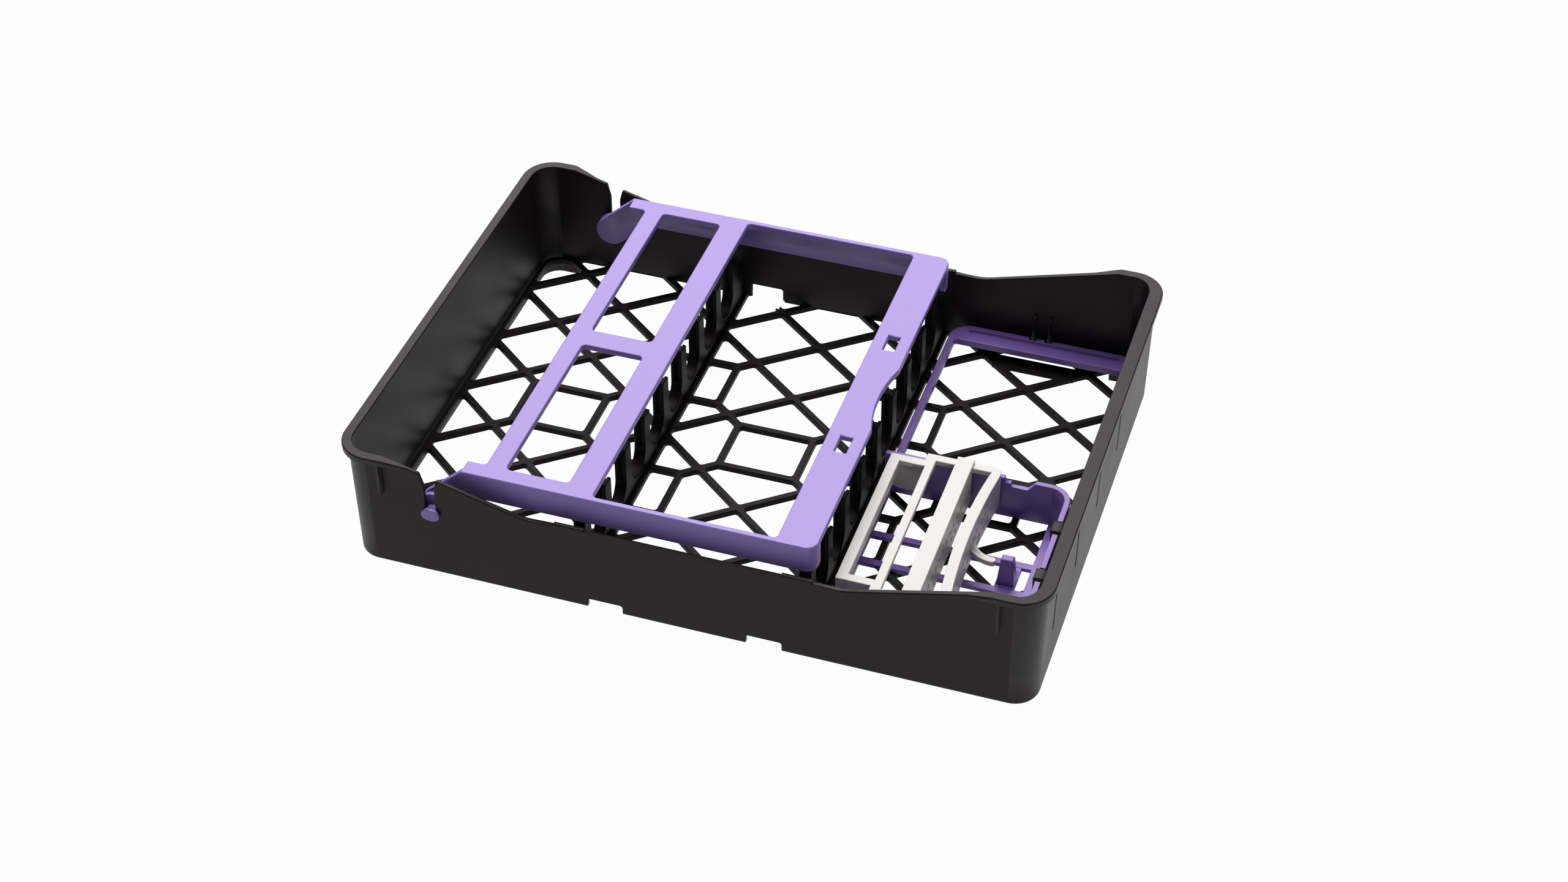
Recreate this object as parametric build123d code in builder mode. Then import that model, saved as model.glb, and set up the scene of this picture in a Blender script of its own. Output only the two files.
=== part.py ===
"""Endodontic file tray: a basket with two instrument racks, a hinged clamp and a lift-out file box.

Millimetres, +Z up. X runs along the tray and Y from its front to its back. The origin is the
centre of the footprint, on the surface that the tray stands on.
"""
import os
from math import ceil, floor

from build123d import *

# Tray walls and rim
TRAY_LENGTH = 184.0
TRAY_DEPTH = 135.4
TRAY_HEIGHT = 36.0
RIM_OVERHANG = 2.0
RIM_THICKNESS = 1.8
RIM_CORNER_RADIUS = 8.6
RIM_WRAP = 12.6
RIM_TAPER = 9.0
WALL = 1.8
FOOT_ROUNDING = 1.0
SCOOP_HEIGHT = 25.7
SCOOP_SLOPE_RUN = 37.0
SCOOP_TOP_INSET = 9.5
SCOOP_ROUNDING = 14.0
KEYHOLE_SLOT = 3.0
FUNNEL_BASE = 29.0
FUNNEL_WIDTH = 6.4
GUSSET_WIDTH = 0.8
GUSSET_REACH = 1.2
GUSSET_HEIGHT = 10.2
TAB_HEIGHT = 0.8
TAB_LENGTH = 8.0
DRAIN_LENGTH = 9.6
DRAIN_HEIGHT = 3.2
DRAIN_OFFSET = 21.0
DRAIN_ROUNDING = 0.8
BACK_DRAIN_HEIGHT = 9.0
BACK_DRAIN_REACH = 4.0
BACK_FOOT_LENGTH = 9.2
FLUTE_SPACING = 23.4
FLUTE_SHIFT = -3.0
FLUTE_HEIGHT = 12.0
FLUTE_DEPTH = 0.35
FLUTE_RADIUS = 1.2
FLUTE_MIDDLE = 19.0

# Floor grille
FLOOR_BASE = 3.6
FLOOR_THICKNESS = 1.7
LATTICE_X = 14.8
LATTICE_Y = 11.82
STRUT = 1.75
STRUT_FILLET = 0.9
RING_REACH = 0.72
FLOOR_BORDER = 1.2
BACK_BORDER = 0.6
RETAINER_WIDTH = 4.4
RETAINER_LENGTH = 23.0
RETAINER_INSET = 6.7

# Instrument racks
RACK_HALF_PERIODS = 2
RACK_WIDTH = 3.2
POST_HEIGHT = 22.4
POST_THICKNESS = 4.2
SLOT_PITCH = 14.2
SADDLE_HEIGHT = 7.4
POST_GROOVE_WIDTH = 1.2
POST_GROOVE_DEPTH = 0.9
RACK_FOOT = 0.8
RACK_END_HEIGHT = 14.0
POST_ROUNDING = 0.6

# Clamp frame
CLAMP_TOP = 33.0
CLAMP_PLATE = 1.8
CLAMP_SIDE_GAP = 2.2
CLAMP_SKIRT_DEPTH = 8.0
CLAMP_SKIRT = 1.6
CLAMP_CORNER = 3.0
PIVOT_INSET = 21.5
PIVOT_HEIGHT = 20.7
PIN_DIAMETER = 3.4
PIN_HEAD_WIDTH = 4.9
PIN_HEAD_HEIGHT = 3.6
PIN_HEAD_LENGTH = 1.0
EAR_RADIUS = 4.3
CLAMP_LEFT_INSET = 12.2
CLAMP_SHOULDER = 5.0
CORNER_SKIRT = 2.0
NARROW_BAR = 5.3
MIDDLE_BAR = 7.3
WIDE_BAR = 10.2
MIDDLE_BAR_SHIFT = 0.9
WIDE_BAR_SHIFT = -1.7
RUNG_WIDTH = 6.4
RUNG_SHIFT = -1.4
RAIL_WIDTH = 4.6
WINDOW_ROUNDING = 1.2
BAR_HOLE_LENGTH = 6.2
BAR_HOLE_WIDTH = 3.2
BAR_HOLE_SPACING = 43.0
BAR_HOLE_SHIFT = -0.5
WAIST_LENGTH = 25.0
WAIST_SHIFT = -1.5
WAIST_DEPTH = 1.9

# File box insert
BOX_FRONT_GAP = 5.2
BOX_DEPTH = 54.8
BOX_HEIGHT = 18.2
BOX_WALL = 1.5
BOX_CORNER = 6.0
BOX_WALL_GAP = 3.8
RAIL_TOP = 10.0
SIDE_RAIL = 2.0
SIDE_RAIL_THICKNESS = 2.0
SIDE_RAIL_OFFSET = 3.2
RIGHT_RAIL = 2.6
REAR_SIDE_GAP = 0.7
FRONT_RAIL = 3.0
REAR_BAR_WIDTH = 7.0
REAR_CORNER = 6.0
REAR_INNER_CORNER = 0.8
REAR_GROOVE_WIDTH = 1.5
REAR_GROOVE_DEPTH = 1.0
REAR_GROOVE_INSET = 2.4
REAR_GROOVE_END = 5.0
CROSS_BAR_WIDTH = 2.2
CROSS_BAR_THICKNESS = 1.2
CROSS_BAR_SPACING = 10.5
SIDE_STRIP = 3.0
WALL_STEP_DEPTH = 1.5
WALL_STEP_LENGTH = 1.7
WALL_DIP_DEPTH = 2.6
WALL_DIP_LENGTH = 4.4
WALL_RISE_RUN = 2.0
KEY_RIB_WIDTH = 4.0
KEY_RIB_REACH = 6.0
KEY_RIB_RISE = 0.4
KEY_RIB_SPACING = 18.0
KEY_RIB_SHIFT = 2.7
BACK_RIB_WIDTH = 0.9
BACK_RIB_REACH = 1.0
BACK_RIB_TOP = 17.4
BACK_RIB_INSET = 29.0
BACK_RIB_SPACING = 4.4
LATCH_POST_SHIFT = -1.6
LATCH_POST_WIDTH = 4.6
LATCH_POST_DEPTH = 3.6
LATCH_POST_TOP = 14.5
LATCH_POST_TAPER = 5.0
LATCH_PAD_MARGIN = 0.3
LATCH_POST_ROUNDING = 0.5

# File holder
HOLDER_PLATE = 1.6
HOLDER_LENGTH = 29.4
HOLDER_CORNER = 3.0
HOLDER_STEP = 2.7
CHEEK_LENGTH = 9.0
CHEEK_BASE = 9.5
CHEEK_THICKNESS = 1.4
HINGE_DROP = 2.7
HINGE_INSET = 4.6
HINGE_PIN = 2.6
LEFT_BAR = 2.8
THIN_BAR = 2.3
THIN_BAR_INSET = 9.5
BRIDGE_WIDTH = 4.5
BRIDGE_INSET = 17.0
BRIDGE_RISE = 1.0
RIGHT_BAR = 3.0
RIGHT_BAR_BULGE = 1.9
END_BAR = 2.4
WEB_THICKNESS = 1.2
WEB_BASE = 9.0
FILE_HOLE = 1.3
FILE_HOLE_PITCH = 3.4
FILE_HOLE_ROWS = 2
FILE_HOLE_DROP = 3.0
ARM_WIDTH = 2.0
ARM_HEIGHT = 1.6
ARM_TOP = 13.6
ARM_POST_GAP = 0.6
BOSS_DIAMETER = 4.2
HOLDER_SEAT_GAP = 0.2
CHEEK_ROUNDING = 3.0
RIGHT_CORNER = 2.4
LEFT_BAR_HEIGHT = 3.2

# Clearances
RUNNING_GAP = 0.3
SLIDE_GAP = 0.5

# Places that follow from the sizes above
wall_x = TRAY_LENGTH / 2 - RIM_OVERHANG
wall_y = TRAY_DEPTH / 2 - RIM_OVERHANG
inner_x = wall_x - WALL
inner_y = wall_y - WALL
wall_corner = RIM_CORNER_RADIUS - RIM_OVERHANG
inner_corner = wall_corner - WALL
rim_end = TRAY_LENGTH / 2 - RIM_WRAP
slope_top = inner_x - SCOOP_TOP_INSET
slope_low = slope_top - SCOOP_SLOPE_RUN
slope_rise = TRAY_HEIGHT - SCOOP_HEIGHT
slope_outer = slope_top + SCOOP_SLOPE_RUN
back_foot_end = inner_x - BACK_FOOT_LENGTH
floor_top = FLOOR_BASE + FLOOR_THICKNESS
rack_x = RACK_HALF_PERIODS * LATTICE_X
pivot_x = -inner_x + PIVOT_INSET
clamp_y = inner_y - CLAMP_SIDE_GAP
clamp_base = CLAMP_TOP - CLAMP_PLATE
insert_left = rack_x + RACK_WIDTH / 2 + SIDE_RAIL_OFFSET
insert_right = inner_x - BOX_WALL_GAP
box_front = BOX_FRONT_GAP - inner_y
box_back = box_front + BOX_DEPTH
box_middle = (box_front + box_back) / 2
rear_bar_back = inner_y - RUNNING_GAP
frame_right = inner_x - REAR_SIDE_GAP
holder_left = insert_left + SIDE_RAIL
holder_right = holder_left + HOLDER_LENGTH
hinge_x = holder_left + HINGE_INSET
hinge_height = BOX_HEIGHT - HINGE_DROP
holder_base = BOX_HEIGHT + HOLDER_SEAT_GAP
holder_top = holder_base + HOLDER_PLATE
clamp_left = pivot_x + CLAMP_LEFT_INSET
middle_bar_x = -rack_x + MIDDLE_BAR_SHIFT
wide_bar_x = rack_x + WIDE_BAR_SHIFT
clamp_right = wide_bar_x + WIDE_BAR / 2
key_face = inner_x - KEY_RIB_REACH - SLIDE_GAP
key_middle = box_middle + KEY_RIB_SHIFT
key_places = (key_middle - KEY_RIB_SPACING / 2, key_middle + KEY_RIB_SPACING / 2)
cross_places = (key_middle - CROSS_BAR_SPACING / 2, key_middle + CROSS_BAR_SPACING / 2)
back_rib_middle = inner_x - BACK_RIB_INSET
back_rib_places = (back_rib_middle - BACK_RIB_SPACING / 2, back_rib_middle + BACK_RIB_SPACING / 2)
post_x = (holder_right + key_face) / 2
post_y = key_middle + LATCH_POST_SHIFT
retainer_x = 2 * rack_x

os.makedirs("parts", exist_ok=True)


def box_between(low, high, mode=Mode.ADD):
    """Rectangular block from its lowest corner to its highest corner."""
    size = [high[axis] - low[axis] for axis in range(3)]
    with Locations(tuple(low)):
        Box(*size, align=(Align.MIN, Align.MIN, Align.MIN), mode=mode)


def both_sides(offset):
    """The two places at plus and minus an offset."""
    return (-offset, offset)


with BuildPart() as tray_shell:
    with BuildSketch():
        RectangleRounded(2 * wall_x, 2 * wall_y, wall_corner)
    extrude(amount=TRAY_HEIGHT)
    fillet(tray_shell.faces().sort_by(Axis.Z)[0].edges(), FOOT_ROUNDING)
    with BuildSketch(Plane.XY.offset(TRAY_HEIGHT - RIM_THICKNESS)):
        RectangleRounded(TRAY_LENGTH, TRAY_DEPTH, RIM_CORNER_RADIUS)
        for side in (-1, 1):
            rim_edge = side * TRAY_DEPTH / 2
            narrowed = side * wall_y
            Polygon(
                (-rim_end, rim_edge), (rim_end, rim_edge),
                (rim_end - RIM_TAPER, narrowed), (RIM_TAPER - rim_end, narrowed),
                align=None, mode=Mode.SUBTRACT,
            )
    extrude(amount=RIM_THICKNESS)
    # Small gussets carry the four ends of the rim
    for side in (-1, 1):
        with Locations(*[(x, side * (wall_y + GUSSET_REACH / 2), TRAY_HEIGHT - RIM_THICKNESS)
                         for x in both_sides(rim_end + GUSSET_WIDTH / 2)]):
            Box(GUSSET_WIDTH, GUSSET_REACH, GUSSET_HEIGHT, align=(Align.CENTER, Align.CENTER, Align.MAX))
    with BuildSketch():
        RectangleRounded(2 * inner_x, 2 * inner_y, inner_corner)
    extrude(amount=TRAY_HEIGHT, mode=Mode.SUBTRACT)
    # The front and back walls dip between the racks' ends
    with BuildSketch(Plane.XZ):
        with BuildLine():
            above_left = (-slope_outer, TRAY_HEIGHT + slope_rise)
            above_right = (slope_outer, TRAY_HEIGHT + slope_rise)
            FilletPolyline(
                above_left, (-slope_low, SCOOP_HEIGHT), (slope_low, SCOOP_HEIGHT), above_right,
                radius=SCOOP_ROUNDING,
            )
            Line(above_right, above_left)
        make_face()
    extrude(amount=wall_y + RIM_OVERHANG, both=True, mode=Mode.SUBTRACT)
    with GridLocations(2 * rack_x, 2 * wall_y - WALL, 2, 2):
        with Locations((0, 0, SCOOP_HEIGHT)):
            Box(TAB_LENGTH, WALL, 2 * TAB_HEIGHT)
    # Keyholes for the clamp's pins, and drain notches at the foot
    with BuildSketch(Plane.XZ):
        with Locations((pivot_x, PIVOT_HEIGHT)):
            Circle(PIN_DIAMETER / 2 + RUNNING_GAP)
        with BuildLine():
            Polyline(
                (pivot_x - KEYHOLE_SLOT / 2, PIVOT_HEIGHT),
                (pivot_x - KEYHOLE_SLOT / 2, FUNNEL_BASE),
                (pivot_x - FUNNEL_WIDTH / 2, TRAY_HEIGHT),
                (pivot_x + FUNNEL_WIDTH / 2, TRAY_HEIGHT),
                (pivot_x + KEYHOLE_SLOT / 2, FUNNEL_BASE),
                (pivot_x + KEYHOLE_SLOT / 2, PIVOT_HEIGHT),
                close=True,
            )
        make_face()
        with Locations(*[(x, 0) for x in both_sides(DRAIN_OFFSET)]):
            RectangleRounded(DRAIN_LENGTH, 2 * DRAIN_HEIGHT, DRAIN_ROUNDING)
    extrude(amount=wall_y + RIM_OVERHANG, both=True, mode=Mode.SUBTRACT)
    # The back wall stands on the floor's edge, with taller drains in it
    with BuildSketch(Plane.XZ):
        Rectangle(2 * back_foot_end, 2 * floor_top)
        with Locations(*[(x, 0) for x in both_sides(DRAIN_OFFSET)]):
            RectangleRounded(DRAIN_LENGTH, 2 * BACK_DRAIN_HEIGHT, DRAIN_ROUNDING)
    extrude(amount=-wall_y, mode=Mode.SUBTRACT)
    # Ribs that key the file box at the right wall and guide its rear bar at the back wall
    for y in key_places:
        box_between(
            (inner_x - KEY_RIB_REACH, y - KEY_RIB_WIDTH / 2, floor_top),
            (inner_x, y + KEY_RIB_WIDTH / 2, BOX_HEIGHT + KEY_RIB_RISE),
        )
    for x in back_rib_places:
        box_between(
            (x - BACK_RIB_WIDTH / 2, inner_y - BACK_RIB_REACH, floor_top),
            (x + BACK_RIB_WIDTH / 2, inner_y, BACK_RIB_TOP),
        )
    # Shallow upright flutes in the outer faces of the end walls
    with Locations(*[
        (x, FLUTE_SHIFT + step * FLUTE_SPACING, FLUTE_MIDDLE)
        for x in both_sides(wall_x - FLUTE_DEPTH + FLUTE_RADIUS)
        for step in (-2, -1, 0, 1)
    ]):
        Cylinder(FLUTE_RADIUS, FLUTE_HEIGHT, mode=Mode.SUBTRACT)

# Seven crossings of the lattice open out into rectangular rings, counted here in half periods
ring_step = RACK_HALF_PERIODS
ring_centres = [(0, 0), (-2 * ring_step, 0), (2 * ring_step, 0)]
ring_centres += [(i, j) for i in both_sides(ring_step) for j in both_sides(ring_step)]
ring_length = 2 * RING_REACH * LATTICE_X
ring_depth = 2 * RING_REACH * LATTICE_Y
diagonals = ceil(inner_x / LATTICE_X) + ceil(inner_y / LATTICE_Y)
strut_length = 4 * (inner_x + inner_y)
lattice_angle = Vector(LATTICE_X, LATTICE_Y).get_signed_angle(Vector(1, 0), Vector(0, 0, -1))

with BuildSketch(mode=Mode.PRIVATE) as lattice:
    RectangleRounded(2 * (inner_x - FLOOR_BORDER), 2 * (inner_y - FLOOR_BORDER), inner_corner)
    with Locations((0, 0)):
        Rectangle(2 * (back_foot_end - FLOOR_BORDER), wall_y - BACK_BORDER, align=(Align.CENTER, Align.MIN))
    with Locations(*[
        Location((step * LATTICE_X, 0), turn * lattice_angle)
        for step in range(-2 * (diagonals // 2), diagonals + 1, 2)
        for turn in (-1, 1)
    ]):
        Rectangle(strut_length, STRUT, mode=Mode.SUBTRACT)
    with Locations(*[(i * LATTICE_X, j * LATTICE_Y) for i, j in ring_centres]):
        Rectangle(ring_length + STRUT, ring_depth + STRUT, mode=Mode.SUBTRACT)
        Rectangle(ring_length - STRUT, ring_depth - STRUT)
    with Locations(*[(x, 0) for x in both_sides(rack_x)]):
        Rectangle(RACK_WIDTH + 2 * FLOOR_BORDER, TRAY_DEPTH, mode=Mode.SUBTRACT)
    with Locations((retainer_x, inner_y - RETAINER_INSET)):
        Rectangle(RETAINER_LENGTH, RETAINER_WIDTH, mode=Mode.SUBTRACT)

open_cells = [
    cell for cell in lattice.faces()
    if 2 * cell.area / cell.outer_wire().length > 2 * STRUT_FILLET
]

with BuildPart() as floor_grille:
    with BuildSketch(Plane.XY.offset(FLOOR_BASE)):
        RectangleRounded(2 * inner_x, 2 * inner_y, inner_corner)
        Rectangle(2 * back_foot_end, wall_y, align=(Align.CENTER, Align.MIN))
        for cell in open_cells:
            shrunk = offset(cell, -STRUT_FILLET, kind=Kind.INTERSECTION, mode=Mode.PRIVATE)
            offset(shrunk, STRUT_FILLET, kind=Kind.ARC, mode=Mode.SUBTRACT)
        with Locations(*[(x, 0) for x in both_sides(rack_x)]):
            Rectangle(RACK_WIDTH, 2 * inner_y, mode=Mode.SUBTRACT)
        with Locations(*[(x, inner_y - BACK_DRAIN_REACH) for x in both_sides(DRAIN_OFFSET)]):
            Rectangle(DRAIN_LENGTH, TRAY_DEPTH, align=(Align.CENTER, Align.MIN), mode=Mode.SUBTRACT)
    extrude(amount=FLOOR_THICKNESS)

posts_each_side = floor((inner_y - POST_THICKNESS) / SLOT_PITCH)
post_places = [step * SLOT_PITCH for step in range(-posts_each_side, posts_each_side + 1)]
slot_places = [y + SLOT_PITCH / 2 for y in post_places[:-1]]
slot_radius = (SLOT_PITCH - POST_THICKNESS) / 2
groove_rows = [y + side * POST_THICKNESS / 2 for y in post_places for side in (-1, 1)][1:-1]


def rack_profile():
    """Side view of a rack: a low web with a round-bottomed slot between each two posts."""
    with BuildSketch(mode=Mode.PRIVATE) as profile:
        with Locations((0, FLOOR_BASE)):
            Rectangle(2 * inner_y, RACK_END_HEIGHT - FLOOR_BASE, align=(Align.CENTER, Align.MIN))
        with Locations(*[(y, RACK_FOOT) for y in post_places]):
            Rectangle(POST_THICKNESS, POST_HEIGHT - RACK_FOOT, align=(Align.CENTER, Align.MIN))
        fillet(profile.vertices().group_by(Axis.Y)[-1], POST_ROUNDING)
        with Locations(*[(y, SADDLE_HEIGHT + slot_radius) for y in slot_places]):
            Circle(slot_radius, mode=Mode.SUBTRACT)
            Rectangle(2 * slot_radius, POST_HEIGHT, align=(Align.CENTER, Align.MIN), mode=Mode.SUBTRACT)
    return profile.sketch


def post_grooves():
    """Upright groove in every face of a post that looks at another post."""
    with BuildSketch(mode=Mode.PRIVATE) as grooves:
        with Locations(*[(0, y) for y in groove_rows]):
            Rectangle(POST_GROOVE_WIDTH, 2 * POST_GROOVE_DEPTH)
    return grooves.sketch


def rack_at(middle):
    """A rack whose middle plane stands at x = middle, added to the part being built."""
    with BuildSketch(Plane.YZ.offset(middle - RACK_WIDTH / 2)) as side_view:
        add(rack_profile())
    extrude(side_view.sketch, amount=RACK_WIDTH)
    with BuildSketch(Plane((middle, 0, SADDLE_HEIGHT + slot_radius))) as grooves:
        add(post_grooves())
    extrude(grooves.sketch, amount=POST_HEIGHT, mode=Mode.SUBTRACT)


with BuildPart() as rack_left:
    rack_at(-rack_x)

with BuildPart() as rack_right:
    rack_at(rack_x)

clamp_length = clamp_right - clamp_left


def clamp_outline():
    """Plan of the clamp's top, rounded at its right corners, which reaches well beyond its left end."""
    with Locations((clamp_right, 0)):
        RectangleRounded(2 * clamp_length, 2 * clamp_y, CLAMP_CORNER, align=(Align.MAX, Align.CENTER))


def clear_left_of(x):
    """Cuts the sketch being drawn off at x, keeping what lies to the right."""
    with Locations((x, 0)):
        Rectangle(TRAY_LENGTH, TRAY_DEPTH, align=(Align.MAX, Align.CENTER), mode=Mode.SUBTRACT)


with BuildPart() as clamp_frame:
    # Front arm, ear and pin, mirrored to the back
    with BuildSketch(Plane.XZ.offset(clamp_y - CLAMP_SKIRT)):
        with Locations((pivot_x, PIVOT_HEIGHT)):
            Circle(EAR_RADIUS)
        with Locations((clamp_left, CLAMP_TOP)):
            Rectangle(CLAMP_SHOULDER, CLAMP_SKIRT_DEPTH, align=(Align.MAX, Align.MAX))
        make_hull()
    extrude(amount=CLAMP_SKIRT)
    with BuildSketch(Plane.XZ.offset(clamp_y)):
        with Locations((pivot_x, PIVOT_HEIGHT)):
            Circle(EAR_RADIUS)
    extrude(amount=inner_y - RUNNING_GAP - clamp_y)
    with BuildSketch(Plane.XZ.offset(inner_y - RUNNING_GAP)):
        with Locations((pivot_x, PIVOT_HEIGHT)):
            Circle(PIN_DIAMETER / 2)
    extrude(amount=WALL + 2 * RUNNING_GAP)
    with BuildSketch(Plane.XZ.offset(wall_y + RUNNING_GAP)):
        with Locations((pivot_x, PIVOT_HEIGHT)):
            SlotOverall(PIN_HEAD_WIDTH, PIN_HEAD_HEIGHT)
    extrude(amount=PIN_HEAD_LENGTH)
    mirror(about=Plane.XZ)
    # Skirt below the rails, turned round the two right corners
    with BuildSketch(Plane.XY.offset(CLAMP_TOP - CLAMP_SKIRT_DEPTH)):
        clamp_outline()
        offset(amount=-CLAMP_SKIRT, kind=Kind.ARC, mode=Mode.SUBTRACT)
        Rectangle(2 * TRAY_LENGTH, 2 * (clamp_y - CLAMP_CORNER - CORNER_SKIRT), mode=Mode.SUBTRACT)
        clear_left_of(clamp_left)
    extrude(amount=CLAMP_SKIRT_DEPTH)
    # Top plate: three bars, a rung and two rails
    with BuildSketch(Plane.XY.offset(clamp_base)):
        clamp_outline()
        clear_left_of(clamp_left - CLAMP_SHOULDER)
        with Locations((clamp_left, 0)):
            RectangleRounded(
                2 * CLAMP_SHOULDER, 2 * (clamp_y - RAIL_WIDTH), WINDOW_ROUNDING,
                align=(Align.MAX, Align.CENTER), mode=Mode.SUBTRACT,
            )
        left_window = (clamp_left + NARROW_BAR, middle_bar_x - MIDDLE_BAR / 2)
        rung_edges = (RUNG_SHIFT - RUNG_WIDTH / 2, RUNG_SHIFT + RUNG_WIDTH / 2)
        for low, high in ((RAIL_WIDTH - clamp_y, rung_edges[0]), (rung_edges[1], clamp_y - RAIL_WIDTH)):
            with Locations((left_window[0], low)):
                RectangleRounded(
                    left_window[1] - left_window[0], high - low, WINDOW_ROUNDING,
                    align=(Align.MIN, Align.MIN), mode=Mode.SUBTRACT,
                )
        with Locations((middle_bar_x + MIDDLE_BAR / 2, 0)):
            RectangleRounded(
                wide_bar_x - WIDE_BAR / 2 - middle_bar_x - MIDDLE_BAR / 2, 2 * (clamp_y - CLAMP_SKIRT),
                WINDOW_ROUNDING, align=(Align.MIN, Align.CENTER), mode=Mode.SUBTRACT,
            )
        with Locations(*[(wide_bar_x, BAR_HOLE_SHIFT + y) for y in both_sides(BAR_HOLE_SPACING / 2)]):
            Rectangle(BAR_HOLE_WIDTH, BAR_HOLE_LENGTH, mode=Mode.SUBTRACT)
        # Finger grip: an arc cut out of the wide bar's free edge
        with BuildLine():
            waist_low = (clamp_right, WAIST_SHIFT - WAIST_LENGTH / 2)
            waist_high = (clamp_right, WAIST_SHIFT + WAIST_LENGTH / 2)
            ThreePointArc(waist_low, (clamp_right - WAIST_DEPTH, WAIST_SHIFT), waist_high)
            Line(waist_high, waist_low)
        make_face(mode=Mode.SUBTRACT)
    extrude(amount=CLAMP_PLATE)

with BuildPart() as rear_frame:
    with BuildSketch(Plane.XY.offset(RAIL_TOP - SIDE_RAIL_THICKNESS)):
        frame_middle = (insert_left + frame_right) / 2
        with Locations((frame_middle, rear_bar_back)):
            RectangleRounded(
                frame_right - insert_left, 2 * (rear_bar_back - box_back), REAR_CORNER,
                align=(Align.CENTER, Align.MAX),
            )
        with Locations((insert_left + SIDE_RAIL, rear_bar_back - REAR_BAR_WIDTH)):
            RectangleRounded(
                frame_right - insert_left - SIDE_RAIL - RIGHT_RAIL,
                rear_bar_back - REAR_BAR_WIDTH - box_back - FRONT_RAIL,
                REAR_INNER_CORNER, align=(Align.MIN, Align.MAX), mode=Mode.SUBTRACT,
            )
        with Locations((frame_middle, box_back)):
            Rectangle(TRAY_LENGTH, TRAY_DEPTH, align=(Align.CENTER, Align.MAX), mode=Mode.SUBTRACT)
        # The rear bar gives way to the back wall's ribs
        with Locations(*[(x, inner_y) for x in back_rib_places]):
            Rectangle(BACK_RIB_WIDTH + 2 * SLIDE_GAP, 2 * (BACK_RIB_REACH + SLIDE_GAP), mode=Mode.SUBTRACT)
    extrude(amount=SIDE_RAIL_THICKNESS)
    with BuildSketch(Plane.XY.offset(RAIL_TOP)):
        with Locations((frame_middle, rear_bar_back - REAR_GROOVE_INSET)):
            SlotOverall(frame_right - insert_left - 2 * REAR_GROOVE_END, REAR_GROOVE_WIDTH)
    extrude(amount=-REAR_GROOVE_DEPTH, mode=Mode.SUBTRACT)

with BuildPart() as file_box:
    with BuildSketch(Plane.XY.offset(floor_top)):
        with Locations((insert_right, box_middle)):
            RectangleRounded(
                2 * (insert_right - insert_left), BOX_DEPTH, BOX_CORNER, align=(Align.MAX, Align.CENTER),
            )
            offset(amount=-BOX_WALL, kind=Kind.ARC, mode=Mode.SUBTRACT)
        clear_left_of(insert_left)
    extrude(amount=BOX_HEIGHT - floor_top)
    box_between(
        (insert_left, box_front + BOX_WALL, floor_top),
        (insert_left + SIDE_RAIL, box_back - BOX_WALL, RAIL_TOP),
    )
    for y in cross_places:
        box_between(
            (insert_left + SIDE_RAIL, y - CROSS_BAR_WIDTH / 2, floor_top),
            (insert_right - BOX_WALL, y + CROSS_BAR_WIDTH / 2, floor_top + CROSS_BAR_THICKNESS),
        )
    box_between(
        (key_face - SIDE_STRIP, box_front + BOX_WALL, floor_top),
        (insert_right - BOX_WALL, box_back - BOX_WALL, floor_top + CROSS_BAR_THICKNESS),
    )
    for y in key_places:
        half = KEY_RIB_WIDTH / 2 + SLIDE_GAP
        box_between((key_face, y - half, 0), (inner_x, y + half, TRAY_HEIGHT), mode=Mode.SUBTRACT)
    # Stepped dip in the back wall beside the holder, and the holes for the holder's hinge pins
    with BuildSketch(Plane.XZ.offset(-box_back)):
        step_left = holder_right + SLIDE_GAP
        dip_left = step_left + WALL_STEP_LENGTH
        dip_right = dip_left + WALL_DIP_LENGTH
        Polygon(
            (step_left, BOX_HEIGHT), (step_left, BOX_HEIGHT - WALL_STEP_DEPTH),
            (dip_left, BOX_HEIGHT - WALL_STEP_DEPTH), (dip_left, BOX_HEIGHT - WALL_DIP_DEPTH),
            (dip_right, BOX_HEIGHT - WALL_DIP_DEPTH), (dip_right + WALL_RISE_RUN, BOX_HEIGHT),
            align=None,
        )
    extrude(amount=BOX_WALL, mode=Mode.SUBTRACT)
    with BuildSketch(Plane.XZ):
        with Locations((hinge_x, hinge_height)):
            Circle(HINGE_PIN / 2 + RUNNING_GAP)
    extrude(amount=TRAY_DEPTH, both=True, mode=Mode.SUBTRACT)

with BuildPart() as latch_post:
    pad_front = cross_places[0] + CROSS_BAR_WIDTH / 2
    pad_back = cross_places[1] - CROSS_BAR_WIDTH / 2
    pad_half = LATCH_POST_WIDTH / 2 + LATCH_PAD_MARGIN
    box_between(
        (post_x - pad_half, pad_front, floor_top),
        (post_x + pad_half, pad_back, floor_top + CROSS_BAR_THICKNESS),
    )
    with BuildSketch(Plane.XY.offset(floor_top + CROSS_BAR_THICKNESS)):
        with Locations((post_x, post_y)):
            Rectangle(LATCH_POST_WIDTH, LATCH_POST_DEPTH)
    extrude(amount=LATCH_POST_TOP - floor_top - CROSS_BAR_THICKNESS, taper=LATCH_POST_TAPER)
    fillet(latch_post.edges().group_by(Axis.Z)[-1], LATCH_POST_ROUNDING)

thin_bar_x = holder_left + THIN_BAR_INSET
bridge_x = holder_left + BRIDGE_INSET
web_back = box_back - BOX_WALL - SLIDE_GAP
web_front = box_front + BOX_WALL + SLIDE_GAP
hinge_part_back = box_back - HOLDER_STEP
hinge_part_front = box_front + HOLDER_STEP
post_face = post_x - LATCH_POST_WIDTH / 2


def bowed_edge(inset, front, back):
    """Plan line beside the holder's right edge, bowed towards the holder's middle."""
    return ThreePointArc(
        (holder_right - inset, front),
        (holder_right - inset - RIGHT_BAR_BULGE, box_middle),
        (holder_right - inset, back),
    )


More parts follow.
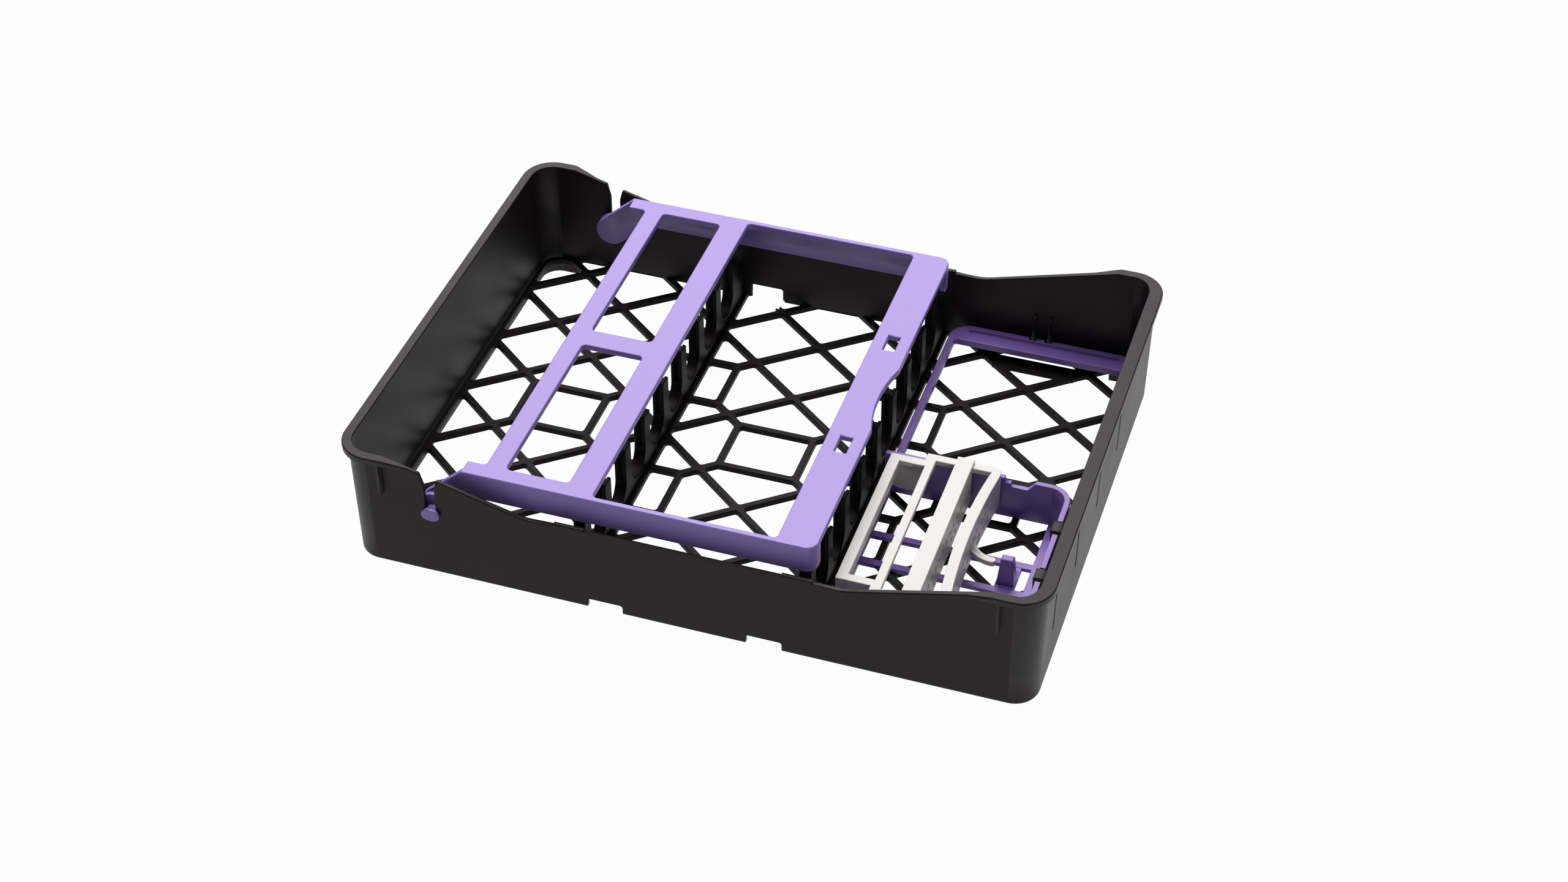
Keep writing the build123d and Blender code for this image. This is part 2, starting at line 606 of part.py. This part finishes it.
def file_holes():
    """Two staggered rows of file holes, seen along X."""
    per_row = floor((web_back - web_front) / FILE_HOLE_PITCH) - 2
    with BuildSketch(mode=Mode.PRIVATE) as holes:
        for row in range(FILE_HOLE_ROWS):
            height = holder_base - FILE_HOLE_DROP - row * FILE_HOLE_PITCH
            shift = (row - 0.5) * FILE_HOLE_PITCH / 2
            with Locations((box_middle + shift, height)):
                with GridLocations(FILE_HOLE_PITCH, 1, per_row, 1):
                    Circle(FILE_HOLE / 2)
    return holes.sketch


with BuildPart() as file_holder:
    # Front cheek with its boss and hinge pin, mirrored to the back
    with BuildSketch(Plane.XZ.offset(-hinge_part_front - CHEEK_THICKNESS)) as cheek:
        with Locations((holder_left, CHEEK_BASE)):
            Rectangle(CHEEK_LENGTH, holder_base - CHEEK_BASE, align=(Align.MIN, Align.MIN))
        fillet(cheek.vertices().group_by(Axis.Y)[0], CHEEK_ROUNDING)
    extrude(amount=CHEEK_THICKNESS)
    boss_front = box_front + BOX_WALL + RUNNING_GAP
    for diameter, reach in ((BOSS_DIAMETER, boss_front), (HINGE_PIN, box_front + RUNNING_GAP)):
        with BuildSketch(Plane.XZ.offset(-hinge_part_front)):
            with Locations((hinge_x, hinge_height)):
                Circle(diameter / 2)
        extrude(amount=hinge_part_front - reach)
    mirror(about=Plane.XZ.offset(-box_middle))
    with BuildSketch(Plane.XY.offset(holder_base)) as plate:
        with BuildLine():
            step_x = holder_left + CHEEK_LENGTH
            edge = bowed_edge(0, box_front, box_back)
            Polyline(
                edge @ 1, (step_x, box_back), (step_x, hinge_part_back), (holder_left, hinge_part_back),
                (holder_left, hinge_part_front), (step_x, hinge_part_front), (step_x, box_front), edge @ 0,
            )
        make_face()
        fillet(plate.vertices().group_by(Axis.X)[0], HOLDER_CORNER)
        fillet(plate.vertices().group_by(Axis.X)[-1], RIGHT_CORNER)
        left_window_back = hinge_part_back - END_BAR
        with Locations((holder_left + LEFT_BAR, box_middle)):
            Rectangle(
                THIN_BAR_INSET - LEFT_BAR, 2 * (left_window_back - box_middle),
                align=(Align.MIN, Align.CENTER), mode=Mode.SUBTRACT,
            )
        with BuildLine():
            window_back = box_back - END_BAR
            window_front = box_front + END_BAR
            window_left = thin_bar_x + THIN_BAR
            bow = bowed_edge(RIGHT_BAR, window_front, window_back)
            Polyline(bow @ 1, (window_left, window_back), (window_left, window_front), bow @ 0)
        make_face(mode=Mode.SUBTRACT)
    extrude(amount=HOLDER_PLATE)
    with BuildSketch(Plane.XZ.offset(-hinge_part_back)):
        with Locations((holder_left, holder_top)):
            Rectangle(LEFT_BAR, LEFT_BAR_HEIGHT, align=(Align.MIN, Align.MAX))
    extrude(amount=hinge_part_back - hinge_part_front)
    # Perforated side plate under the bowed right bar
    with BuildSketch(Plane.XY.offset(WEB_BASE)):
        with BuildLine():
            outer = bowed_edge(0, box_front, box_back)
            inner = bowed_edge(WEB_THICKNESS, box_front, box_back)
            Line(outer @ 1, inner @ 1)
            Line(inner @ 0, outer @ 0)
        make_face()
        with Locations((holder_right, box_middle)):
            Rectangle(HOLDER_LENGTH, web_back - web_front, mode=Mode.INTERSECT)
    extrude(amount=holder_base - WEB_BASE)
    with BuildSketch(Plane.YZ.offset(holder_right - RIGHT_BAR_BULGE - 2 * WEB_THICKNESS)):
        add(file_holes())
    extrude(amount=RIGHT_BAR_BULGE + 3 * WEB_THICKNESS, mode=Mode.SUBTRACT)
    # Latch arm, curling from the side plate to the post on the box
    with BuildSketch(Plane.XY.offset(ARM_TOP - ARM_HEIGHT)):
        with BuildLine(mode=Mode.PRIVATE):
            arm_start_x = holder_right - RIGHT_BAR_BULGE - WEB_THICKNESS / 2
            arm_radius = post_face - ARM_POST_GAP - ARM_WIDTH / 2 - arm_start_x
            arm_centre = (arm_start_x + arm_radius, post_y + arm_radius - LATCH_POST_DEPTH / 4)
            arm_arc = CenterArc(arm_centre, arm_radius, 180, 90)
        SlotArc(arm_arc, ARM_WIDTH)
    extrude(amount=ARM_HEIGHT)

with BuildPart() as file_bridge:
    box_between(
        (bridge_x, box_front, holder_top),
        (bridge_x + BRIDGE_WIDTH, box_back, holder_top + BRIDGE_RISE),
    )
    box_between(
        (bridge_x + BRIDGE_WIDTH - WEB_THICKNESS, window_front, WEB_BASE),
        (bridge_x + BRIDGE_WIDTH, window_back, holder_top),
    )
    with BuildSketch(Plane.YZ.offset(bridge_x)):
        add(file_holes())
    extrude(amount=BRIDGE_WIDTH, mode=Mode.SUBTRACT)

pieces = {
    "tray_shell": tray_shell,
    "floor_grille": floor_grille,
    "rack_left": rack_left,
    "rack_right": rack_right,
    "clamp_frame": clamp_frame,
    "rear_frame": rear_frame,
    "file_box": file_box,
    "latch_post": latch_post,
    "file_holder": file_holder,
    "file_bridge": file_bridge,
}
for name, piece in pieces.items():
    piece.part.label = name
    export_step(piece.part, f"parts/{name}.step")
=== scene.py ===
"""Endodontic file tray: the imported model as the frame, with rounded edges, plastics and studio light."""

import math

import bmesh
import bpy
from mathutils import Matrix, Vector


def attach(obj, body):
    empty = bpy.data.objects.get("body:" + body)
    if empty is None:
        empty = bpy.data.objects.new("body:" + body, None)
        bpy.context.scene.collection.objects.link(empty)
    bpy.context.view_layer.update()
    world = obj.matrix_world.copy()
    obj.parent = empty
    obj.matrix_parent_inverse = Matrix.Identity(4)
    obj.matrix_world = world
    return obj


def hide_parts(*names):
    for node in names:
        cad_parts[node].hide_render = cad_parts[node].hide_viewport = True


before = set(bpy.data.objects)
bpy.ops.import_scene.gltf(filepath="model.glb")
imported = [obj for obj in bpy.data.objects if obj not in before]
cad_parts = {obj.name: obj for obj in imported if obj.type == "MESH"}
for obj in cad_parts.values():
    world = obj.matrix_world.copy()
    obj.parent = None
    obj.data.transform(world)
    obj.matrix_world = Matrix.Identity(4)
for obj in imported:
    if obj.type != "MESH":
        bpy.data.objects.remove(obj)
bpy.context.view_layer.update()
MM = 0.001


# Camera: one fit to the photograph, in pixels of its 2560 pixel wide frame and in metres
IMAGE_WIDTH = 2560
FOCAL_PIXELS = 4387.6
SENSOR_WIDTH = 36.0
CAMERA_PLACE = Vector((0.1732, -0.5149, 0.4728))
CAMERA_AIM = Vector((-0.23612, 0.72277, -0.64950))
CLIP_START = 0.01
CLIP_END = 20.0

# Light: each lamp's place and side in metres and its power in watts
WORLD_STRENGTH = 0.2
LAMP_TARGET = (0, 0, 0)
LAMPS = {
    "key": ((-0.35, 0.45, 1.5), 0.9, 18.0),
    "sheen": ((-0.4, 1.2, 1.1), 1.5, 26.0),
    "fill": ((1.1, -0.5, 0.9), 0.8, 3.0),
}

# Floor: half its width in metres, its depth below the tray in millimetres, the share of white seen in it
FLOOR_REACH = 4.0
FLOOR_DROP = 0.05
WHITE_SHARE = 0.97

# Colours as linear values
WHITE = (1.0, 1.0, 1.0)
BLACK = (0.0082, 0.0064, 0.0062)
# Painted shade: a darker copy of the black plastic for the floor grille and racks, standing in for their
# shade inside the tray
GRILLE_SHADE_BLACK = (0.0065, 0.0052, 0.0056)
LILAC = (0.25, 0.175, 0.50)
# Painted shade: a darker copy of the lilac for the insert's pieces, standing in for the shade they sit in
# inside the tray
SHADED_LILAC = (0.175, 0.10, 0.37)
PALE_GREY = (0.62, 0.60, 0.575)
FLOOR_WHITE = (0.55, 0.55, 0.55)
SHEEN_TINT = (1.0, 0.86, 0.9)

# Plastics: slow changes of tone and gloss, grain, and how deep light goes in millimetres
CLOUD_SCALE = 60.0
CLOUD_DETAIL = 4.0
TONE_ENDS = (0.3, 0.7)
GLOSSIER = 0.05
DULLER = 0.07
GRAIN_DETAIL = 3.0
GRAIN_STRENGTH = 0.5
LIGHT_SPREAD = (1.0, 0.8, 1.0)
LIGHT_DEPTH = 1.2

# Moulding draft of the tray's walls, in millimetres: how far each face leans out by the top, and the
# distances from the wall's outer face that tell its faces apart
HALF_LENGTH = 90.0
HALF_DEPTH = 65.7
CORNER_RADIUS = 6.6
WALL_SPLIT = 1.1
INNER_ZONE = 1.9
GUSSET_ZONE = 1.3
WALL_TOP = 36.0
FLOOR_TOP = 5.3
OUTER_LEAN = 0.45
INNER_LEAN = 1.15

# Steps at the rim's tapered ends, in millimetres
RIM_UNDERSIDE = 34.2
RIM_STUB = 0.5
LEVEL_SLACK = 0.1

# Rounding of edges: angles in degrees, lengths in millimetres
MERGE_DISTANCE = 0.002
FLAT_ANGLE = 1.0
SHARP_ANGLE = 35.0
ROUND_SEGMENTS = 3
UPWARD = 0.5
RING_CORNERS = 24


def add_camera():
    """The photograph's camera."""
    data = bpy.data.cameras.new("photo_camera")
    data.sensor_fit = "HORIZONTAL"
    data.sensor_width = SENSOR_WIDTH
    data.lens = SENSOR_WIDTH * FOCAL_PIXELS / IMAGE_WIDTH
    data.clip_start = CLIP_START
    data.clip_end = CLIP_END
    camera = bpy.data.objects.new("photo_camera", data)
    bpy.context.scene.collection.objects.link(camera)
    camera.location = CAMERA_PLACE
    camera.rotation_mode = "QUATERNION"
    camera.rotation_quaternion = CAMERA_AIM.to_track_quat("-Z", "Y")
    bpy.context.scene.camera = camera


def add_lamp(name, place, side, power):
    """A square area lamp aimed at the middle of the tray's foot."""
    data = bpy.data.lights.new(name, "AREA")
    data.shape = "SQUARE"
    data.size = side
    data.energy = power
    lamp = bpy.data.objects.new(name, data)
    bpy.context.scene.collection.objects.link(lamp)
    lamp.location = place
    lamp.rotation_mode = "QUATERNION"
    lamp.rotation_quaternion = (Vector(LAMP_TARGET) - Vector(place)).to_track_quat("-Z", "Y")


def set_world():
    """A plain white surround."""
    world = bpy.data.worlds.new("studio")
    bpy.context.scene.world = world
    world.use_nodes = True
    background = world.node_tree.nodes["Background"]
    background.inputs["Color"].default_value = (*WHITE, 1.0)
    background.inputs["Strength"].default_value = WORLD_STRENGTH


def floor_material():
    """Pale floor lifted towards white where it is seen directly, in a reflection or through glass."""
    material = bpy.data.materials.new("studio_floor")
    material.use_nodes = True
    tree = material.node_tree
    tree.nodes.clear()
    output = tree.nodes.new("ShaderNodeOutputMaterial")
    paint = tree.nodes.new("ShaderNodeBsdfDiffuse")
    paint.inputs["Color"].default_value = (*FLOOR_WHITE, 1.0)
    glow = tree.nodes.new("ShaderNodeEmission")
    glow.inputs["Color"].default_value = (*WHITE, 1.0)
    glow.inputs["Strength"].default_value = 1.0
    path = tree.nodes.new("ShaderNodeLightPath")
    seen = path.outputs["Is Camera Ray"]
    for ray in ("Is Glossy Ray", "Is Transmission Ray"):
        either = tree.nodes.new("ShaderNodeMath")
        either.operation = "MAXIMUM"
        tree.links.new(seen, either.inputs[0])
        tree.links.new(path.outputs[ray], either.inputs[1])
        seen = either.outputs[0]
    share = tree.nodes.new("ShaderNodeMath")
    share.operation = "MULTIPLY"
    share.inputs[1].default_value = WHITE_SHARE
    tree.links.new(seen, share.inputs[0])
    mix = tree.nodes.new("ShaderNodeMixShader")
    tree.links.new(share.outputs[0], mix.inputs["Fac"])
    tree.links.new(paint.outputs[0], mix.inputs[1])
    tree.links.new(glow.outputs[0], mix.inputs[2])
    tree.links.new(mix.outputs[0], output.inputs["Surface"])
    return material


def add_floor():
    """The plain surface that the tray stands on."""
    mesh = bpy.data.meshes.new("floor")
    corners = [(x * FLOOR_REACH, y * FLOOR_REACH, 0) for x, y in ((-1, -1), (1, -1), (1, 1), (-1, 1))]
    mesh.from_pydata(corners, [], [range(len(corners))])
    floor = bpy.data.objects.new("floor", mesh)
    bpy.context.scene.collection.objects.link(floor)
    floor.location.z = -FLOOR_DROP * MM
    mesh.materials.append(floor_material())


def plastic(name, colour, roughness, sheen, grain, grain_height, mottle, translucency=0.0):
    """Moulded plastic: fine spark-eroded grain, slow changes of tone and gloss, some light let in."""
    material = bpy.data.materials.new(name)
    material.use_nodes = True
    tree = material.node_tree
    shader = tree.nodes["Principled BSDF"]
    shader.inputs["Specular IOR Level"].default_value = sheen
    shader.inputs["Specular Tint"].default_value = (*SHEEN_TINT, 1.0)
    place = tree.nodes.new("ShaderNodeTexCoord")

    clouds = tree.nodes.new("ShaderNodeTexNoise")
    clouds.inputs["Scale"].default_value = CLOUD_SCALE
    clouds.inputs["Detail"].default_value = CLOUD_DETAIL
    tree.links.new(place.outputs["Object"], clouds.inputs["Vector"])
    tone = tree.nodes.new("ShaderNodeValToRGB")
    for end, position, level in zip(tone.color_ramp.elements, TONE_ENDS, (1 - mottle, 1 + mottle)):
        end.position = position
        end.color = (*[c * level for c in colour], 1.0)
    tree.links.new(clouds.outputs["Fac"], tone.inputs["Fac"])
    tree.links.new(tone.outputs["Color"], shader.inputs["Base Color"])

    gloss = tree.nodes.new("ShaderNodeMapRange")
    gloss.inputs["To Min"].default_value = roughness - GLOSSIER
    gloss.inputs["To Max"].default_value = roughness + DULLER
    tree.links.new(clouds.outputs["Fac"], gloss.inputs["Value"])
    tree.links.new(gloss.outputs["Result"], shader.inputs["Roughness"])

    speckle = tree.nodes.new("ShaderNodeTexNoise")
    speckle.inputs["Scale"].default_value = grain
    speckle.inputs["Detail"].default_value = GRAIN_DETAIL
    tree.links.new(place.outputs["Object"], speckle.inputs["Vector"])
    bump = tree.nodes.new("ShaderNodeBump")
    bump.inputs["Strength"].default_value = GRAIN_STRENGTH
    bump.inputs["Distance"].default_value = grain_height * MM
    tree.links.new(speckle.outputs["Fac"], bump.inputs["Height"])
    tree.links.new(bump.outputs["Normal"], shader.inputs["Normal"])
    if translucency:
        shader.inputs["Subsurface Weight"].default_value = translucency
        shader.inputs["Subsurface Radius"].default_value = LIGHT_SPREAD
        shader.inputs["Subsurface Scale"].default_value = LIGHT_DEPTH * MM
    return material


def lean_walls(work):
    """Leans the tray's walls outwards, the inner face more, except the right wall's inner face."""
    for vertex in work.verts:
        x, y, z = (value / MM for value in vertex.co)
        past_x = max(0.0, abs(x) - (HALF_LENGTH - CORNER_RADIUS))
        past_y = max(0.0, abs(y) - (HALF_DEPTH - CORNER_RADIUS))
        reach = math.hypot(past_x, past_y)
        if not reach:
            continue
        outside = reach - CORNER_RADIUS
        if -WALL_SPLIT < outside < GUSSET_ZONE:
            lean = OUTER_LEAN * z / WALL_TOP
        elif -INNER_ZONE < outside <= -WALL_SPLIT:
            lean = INNER_LEAN * (z - FLOOR_TOP) / (WALL_TOP - FLOOR_TOP)
        else:
            continue
        if x < 0 or outside > -WALL_SPLIT:
            vertex.co.x += math.copysign(lean * past_x / reach, x) * MM
        vertex.co.y += math.copysign(lean * past_y / reach, y) * MM


def close_rim_stubs(work):
    """Merges the steps where the rim's tapered ends run into the wall, too narrow to be rounded."""
    ends = [
        vertex for vertex in work.verts
        if abs(vertex.co.z - RIM_UNDERSIDE * MM) < LEVEL_SLACK * MM
        and any(edge.calc_length() < RIM_STUB * MM for edge in vertex.link_edges)
    ]
    bmesh.ops.remove_doubles(work, verts=ends, dist=RIM_STUB * MM)


def is_thin_ring(face, width):
    """Whether a face is a ring too narrow to be rounded on both sides, such as the back of a pin's head."""
    return len(face.verts) > RING_CORNERS and face.calc_area() / face.calc_perimeter() < width


def mark_edges(work, width, tops_only):
    """Marks the sharp outward edges to be rounded: all of them, or only those round the upper faces."""
    marks = work.edges.layers.float.new("bevel_weight_edge")
    sharp = math.radians(SHARP_ANGLE)
    for edge in work.edges:
        if len(edge.link_faces) != 2 or not edge.is_convex or edge.calc_face_angle() < sharp:
            continue
        if any(is_thin_ring(face, width) for face in edge.link_faces):
            continue
        low, high = sorted(face.normal.z for face in edge.link_faces)
        if tops_only and not (high > UPWARD and abs(low) < UPWARD):
            continue
        edge[marks] = 1.0


def soften(node, width, tops_only):
    """A copy of a CAD node with its moulded edges rounded, which stands for that node."""
    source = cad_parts[node]
    mesh = source.data.copy()
    work = bmesh.new()
    work.from_mesh(mesh)
    bmesh.ops.remove_doubles(work, verts=work.verts, dist=MERGE_DISTANCE * MM)
    bmesh.ops.dissolve_limit(
        work, angle_limit=math.radians(FLAT_ANGLE), verts=work.verts, edges=work.edges,
        use_dissolve_boundaries=False,
    )
    if node == "tray_shell":
        lean_walls(work)
        close_rim_stubs(work)
    work.normal_update()
    mark_edges(work, width, tops_only)
    work.to_mesh(mesh)
    work.free()
    piece = bpy.data.objects.new("soft_" + node, mesh)
    bpy.context.scene.collection.objects.link(piece)
    bevel = piece.modifiers.new("edges", "BEVEL")
    bevel.width = width
    bevel.segments = ROUND_SEGMENTS
    bevel.limit_method = "WEIGHT"
    bevel.use_clamp_overlap = False
    bevel.loop_slide = tops_only
    for polygon in mesh.polygons:
        polygon.use_smooth = True
    normals = piece.modifiers.new("normals", "WEIGHTED_NORMAL")
    normals.keep_sharp = True
    return piece


add_camera()
add_floor()
set_world()
for lamp_name, (lamp_place, lamp_side, lamp_power) in LAMPS.items():
    add_lamp(lamp_name, lamp_place, lamp_side, lamp_power)

# Each plastic: colour, roughness, sheen, grain's scale and height in millimetres, mottle, light let in
black_plastic = plastic("black_plastic", BLACK, 0.42, 0.2, 2600.0, 0.03, 0.1)
# Painted shade: the grille and racks are the shell's black plastic, made darker and given less sheen to
# stand in for their shade
grille_shade_plastic = plastic("grille_painted_shade_black", GRILLE_SHADE_BLACK, 0.46, 0.07, 2600.0, 0.03, 0.1)
lilac_plastic = plastic("lilac_plastic", LILAC, 0.36, 0.5, 1500.0, 0.006, 0.015, 0.1)
# Painted shade: the insert's pieces get a darker lilac to stand in for their shade in the tray
shaded_lilac_plastic = plastic("shaded_lilac_plastic", SHADED_LILAC, 0.36, 0.5, 1500.0, 0.006, 0.02, 0.08)
grey_plastic = plastic("grey_plastic", PALE_GREY, 0.4, 0.35, 1500.0, 0.006, 0.015, 0.1)

# Each node: its body, plastic, material slot and the width of its rounded edges in millimetres
finishes = {
    "tray_shell": ("tray", black_plastic, "black_plastic", 0.35),
    "floor_grille": ("tray", grille_shade_plastic, "black_plastic", 0.22),
    "rack_left": ("tray", grille_shade_plastic, "black_plastic", 0.3),
    "rack_right": ("tray", grille_shade_plastic, "black_plastic", 0.3),
    "clamp_frame": ("clamp", lilac_plastic, "purple_plastic", 0.36),
    # The insert's pieces take the darker lilac, which is painted shade; their slot keeps its name
    "rear_frame": ("insert", shaded_lilac_plastic, "deep_purple_plastic", 0.2),
    "file_box": ("insert", shaded_lilac_plastic, "deep_purple_plastic", 0.2),
    "latch_post": ("insert", shaded_lilac_plastic, "deep_purple_plastic", 0.2),
    "file_holder": ("holder", grey_plastic, "grey_plastic", 0.25),
    "file_bridge": ("holder", grey_plastic, "grey_plastic", 0.2),
}
for node, (body, material, slot, width) in finishes.items():
    piece = soften(node, width * MM, tops_only=node == "tray_shell")
    piece.data.materials.clear()
    piece.data.materials.append(material)
    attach(piece, body)
    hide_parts(node)

bpy.context.scene.view_settings.view_transform = "Standard"
